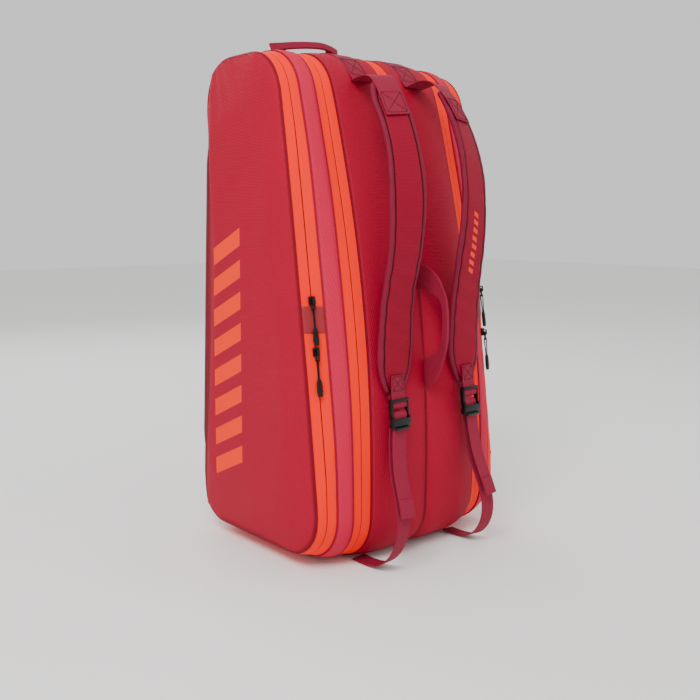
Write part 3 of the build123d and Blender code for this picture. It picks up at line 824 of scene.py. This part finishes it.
for side, sign in SIDES.items():
    body = f"{side}_shoulder_strap"
    spot = laid(PAD, sign)
    pad = strip(f"{side}_pad", spot, PAD_CORE, 70, lanes=10, edge=0.002)
    pad.data.materials.clear()
    pad.data.remesh_voxel_size = 0.004
    solo(pad)
    bpy.ops.object.voxel_remesh()
    inflate(pad, np.zeros(len(pad.data.vertices)), 4, 0.0016)
    modify(pad, "SUBSURF", levels=1, render_levels=1)
    rows = points_of(pad)
    nearest = ((rows[:, None, 2] - spot.centre[None, :, 2]) ** 2
               + (rows[:, None, 1] - spot.centre[None, :, 1]) ** 2).argmin(axis=1)
    across = np.einsum("ij,ij->i", rows - spot.centre[nearest], spot.side_way[nearest])
    height = np.einsum("ij,ij->i", rows - spot.centre[nearest], spot.up[nearest])
    inset = spot.half[nearest] - np.abs(across)
    ends = np.minimum(spot.share[nearest], 1 - spot.share[nearest]) * spot.length
    dent = np.exp(-((inset - BINDING) / 0.0016) ** 2) * np.sign(height)
    rows -= spot.up[nearest] * (dent * 0.0012)[:, None]
    folds = np.sin(rows[:, 2] * 190 + across * 60) * np.exp(-((rows[:, 2] - 0.40) / 0.10) ** 2)
    rows += spot.up[nearest] * (folds * 0.0009 * (height > 0) * np.clip(inset / 0.012, 0, 1))[:, None]
    move_points(pad, rows)
    layer = pad.data.attributes.new("from_edge", "FLOAT", "POINT")
    layer.data.foreach_set("value", inset.astype(np.float32))
    pad.data.materials.append(pad_red)
    solo(pad)
    bpy.ops.object.shade_smooth()
    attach(pad, body)
    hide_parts(f"{side}_shoulder_pad")
    spot = laid(TOP_WEB, sign)
    arch = strip(f"{side}_top_webbing", spot, WEB_THICK, 50)
    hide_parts(f"{side}_strap_webbing")
    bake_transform(arch)
    sew(f"{side}_pad_stitches", box_and_cross(spot, 0.68, 0.97, 0.16, 0.0012), body)
    spot = laid(LOOP, sign)
    loop = strip(f"{side}_loop", spot, 0.0014, 60)
    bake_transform(loop)
    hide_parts(f"{side}_buckle_loop")
    sew(f"{side}_loop_stitches", box_and_cross(spot, 0.02, 0.30, 0.2, 0.001), body)

# --- Lower webbing --------------------------------------------------------------------------------
# 25 mm webbing sewn into the base seam. It loops forward off the floor, rises behind the pad,
# goes over the buckle's middle bar and hangs in front as a tail with a folded, sewn hem.
LOWER = ((-241, 88), (-231, 116), (-216.5, 150), (-208.8, 198), (-208.6, 222), (-207.8, 234),
         (-204, 239), (-200.2, 234), (-199.9, 222), (-200.6, 188), (-209, 145), (-227, 105),
         (-235, 70), (-227, 36), (-203, 9), (-168, 1.9), (-141, 3.4))
BAR_Z = 233
for side, sign in SIDES.items():
    rows = [(76 + 0.098 * (BAR_Z - z), y, z, 12.5, -4) for y, z in LOWER]
    spot = laid(rows, sign)
    lower = strip(f"{side}_lower", spot, 0.0015, 110)
    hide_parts(f"{side}_lower_webbing")
    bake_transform(lower)
    rows = [(76 + 0.098 * (BAR_Z - z), y - 1.5, z, 12.4, -4)
            for y, z in ((-241, 88.3), (-236, 102), (-231.5, 114))]
    hem = strip(f"{side}_hem", laid(rows, sign), 0.0014, 8)
    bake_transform(hem)

# --- Handles --------------------------------------------------------------------------------------
# The carry handle is 38 mm webbing whose two ends are sewn into the centre seam and whose middle
# is folded in half as a grip. The top handle is the same webbing, bent at the ends of its grip.
CARRY = ((0, -158, 431, 18, 90), (0, -178, 428, 18, 90), (0, -198, 418, 15, 90),
         (1, -214, 403, 8, 90), (1, -221, 388, 5.5, 90), (1, -223, 358, 5, 90), (1, -221, 330, 6, 90),
         (1, -214, 314, 9, 90), (0, -202, 298, 15, 90), (0, -190, 284, 19, 90), (0, -178, 276, 18, 90))
spot = laid(CARRY, 1)
carry = strip("carry_handle_webbing", spot, 0.0022, 90, lanes=8)
rows = points_of(carry)
folded = np.exp(-((rows[:, 2] - 0.358) / 0.036) ** 4)
rows[:, 0] = 0.001 + (rows[:, 0] - 0.001) * (1 + 1.3 * folded)
move_points(carry, rows)
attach(carry, "carry_handle")
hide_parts("carry_handle")

HANDLE_Y, HANDLE_Z = 72, 763.5
for side, sign in SIDES.items():
    LEG = ((53, HANDLE_Y - 3, HANDLE_Z, 19, 0), (53, HANDLE_Y + 12, HANDLE_Z + 5, 19, 0),
           (54, HANDLE_Y + 26, HANDLE_Z + 14, 18, 0), (56, HANDLE_Y + 35, HANDLE_Z + 24, 14, 0),
           (58, HANDLE_Y + 39, HANDLE_Z + 36, 12, 0))
    leg = strip(f"{side}_handle_leg", laid(LEG, sign), WEB_THICK, 24)
    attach(leg, "top_handle")
GRIP = ((-70, 111, 791, 8, 20), (-48, 109, 796, 6.5, 24), (0, 106, 803, 6.2, 26),
        (48, 107, 806, 6.2, 24), (70, 110, 797, 7, 20))
grip = strip("top_handle_grip", laid(GRIP, 1, across=(0, 0, 1)), 0.005, 50, lanes=6, edge=0.0016)
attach(grip, "top_handle")
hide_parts("top_handle")

# --- Buckles, sliders and pulls -------------------------------------------------------------------
# The ladder locks are moulded black acetal, the sliders die-cast zinc with black paint, and the
# pulls have a moulded grip on a doubled length of 1.8 mm braided cord.
acetal, principled = new_material("moulded_acetal_black", "#060607", 0.38, Specular_IOR_Level=0.3)
place = add(acetal, "TexCoord").node.outputs["Object"]
grain = add(acetal, "TexNoise", {"Vector": place, "Scale": 2400.0})
bump = add(acetal, "Bump", {"Height": grain, "Strength": 0.25, "Distance": 0.0001})
acetal.node_tree.links.new(bump, principled.inputs["Normal"])
zinc, principled = new_material("painted_zinc_black", "#070708", 0.3, Specular_IOR_Level=0.35)
place = add(zinc, "TexCoord").node.outputs["Object"]
grain = add(zinc, "TexNoise", {"Vector": place, "Scale": 900.0})
bump = add(zinc, "Bump", {"Height": grain, "Strength": 0.15, "Distance": 0.0001})
zinc.node_tree.links.new(bump, principled.inputs["Normal"])
cord_black, principled = new_material("braided_polyester_cord_black", "#070708", 0.7, Specular_IOR_Level=0.2)
place = add(cord_black, "TexCoord").node.outputs["Object"]
braid = add(cord_black, "TexWave", {"Vector": place, "Scale": 700.0, "Distortion": 1.0},
            bands_direction="DIAGONAL")
bump = add(cord_black, "Bump", {"Height": braid, "Strength": 0.6, "Distance": 0.0002})
cord_black.node_tree.links.new(bump, principled.inputs["Normal"])


def bar(centre, size, tilt=0, edge=0.0013):
    """A moulded bar with rounded edges; centre and size in millimetres, tilt about X in degrees."""
    bpy.ops.object.select_all(action="DESELECT")
    bpy.ops.mesh.primitive_cube_add(size=1, location=[c / 1000 for c in centre])
    piece = bpy.context.object
    piece.scale = [s / 1000 for s in size]
    piece.rotation_euler = (math.radians(tilt), 0, 0)
    bpy.ops.object.transform_apply(location=True, rotation=True, scale=True)
    modify(piece, "BEVEL", width=edge, segments=3)
    return piece


for side, sign in SIDES.items():
    x = sign * 76
    parts = [
        bar((x, -207.4, 254.0), (34, 4.0, 4.6), 0, 0.0018),
        bar((x, -201.3, 247.5), (32, 3.2, 3.6), 0, 0.0014),
        bar((x, -204.0, 233.0), (32, 3.2, 4.2), 0, 0.0014),
        bar((x, -211.9, 221.5), (34, 2.8, 14), 7, 0.0013),
        bar((x, -213.7, 213.2), (28, 3.0, 5), 24, 0.0013),
    ]
    for edge_sign in (-1, 1):
        parts += [bar((x + edge_sign * 15.5, -204.8, 242), (3.4, 8.2, 28), -5, 0.0015),
                  bar((x + edge_sign * 15.5, -207.8, 223), (3.4, 8.4, 18), 8, 0.0015)]
    solo(parts[0])
    for part in parts:
        part.select_set(True)
    bpy.ops.object.join()
    lock = bpy.context.object
    lock.name = f"{side}_lock"
    bpy.ops.object.shade_smooth_by_angle(angle=math.radians(50))
    lock.data.materials.append(acetal)
    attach(lock, f"{side}_buckle")
    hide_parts(f"{side}_ladder_lock")

for name, node in frame["nodes"].items():
    finish = None
    if name.endswith("_slider"):
        finish = zinc
    if name.endswith("_pull"):
        finish = acetal
    if finish:
        node.data.materials.clear()
        node.data.materials.append(finish)

CORD = ((1.0, -38.97), (1.15, -31), (1.5, -22.5), (1.8, -17), (1.95, -14), (1.9, -11.25))
HINGE_DROP, DROOP = -0.3, 2
joints = {joint["name"]: joint for joint in frame["joints"]}
for name, joint in joints.items():
    if not name.endswith("_pull_hinge"):
        continue
    stem = name[:-len("_pull_hinge")]
    axis, pivot = Vector(joint["axis"]), Vector(joint["pos_m"])
    up = Vector(joints[f"{stem}_run"]["axis"])
    on_top = "pocket" not in stem
    if not on_top and up.z < 0:
        up = -up
    out = up.cross(axis).normalized()
    if (out.z if on_top else -out.y) < 0:
        out = -out
    if on_top:
        swing = Matrix.Rotation(math.radians(-DROOP), 3, axis)
        up, out = swing @ up, swing @ out
    half = [(y, z - HINGE_DROP) for y, z in CORD]
    route = half + [(-y, z) for y, z in reversed(half)]
    points = [pivot + out * (y / 1000) + up * (z / 1000) for y, z in route]
    cord = tube(f"{stem}_cord", points, 0.0009)
    cord.data.materials.append(cord_black)
    body = f"{stem}_pull"
    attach(cord, body)
    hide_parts(f"{stem}_pull_cord")
    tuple(points[0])

bpy.data.objects.remove(form)
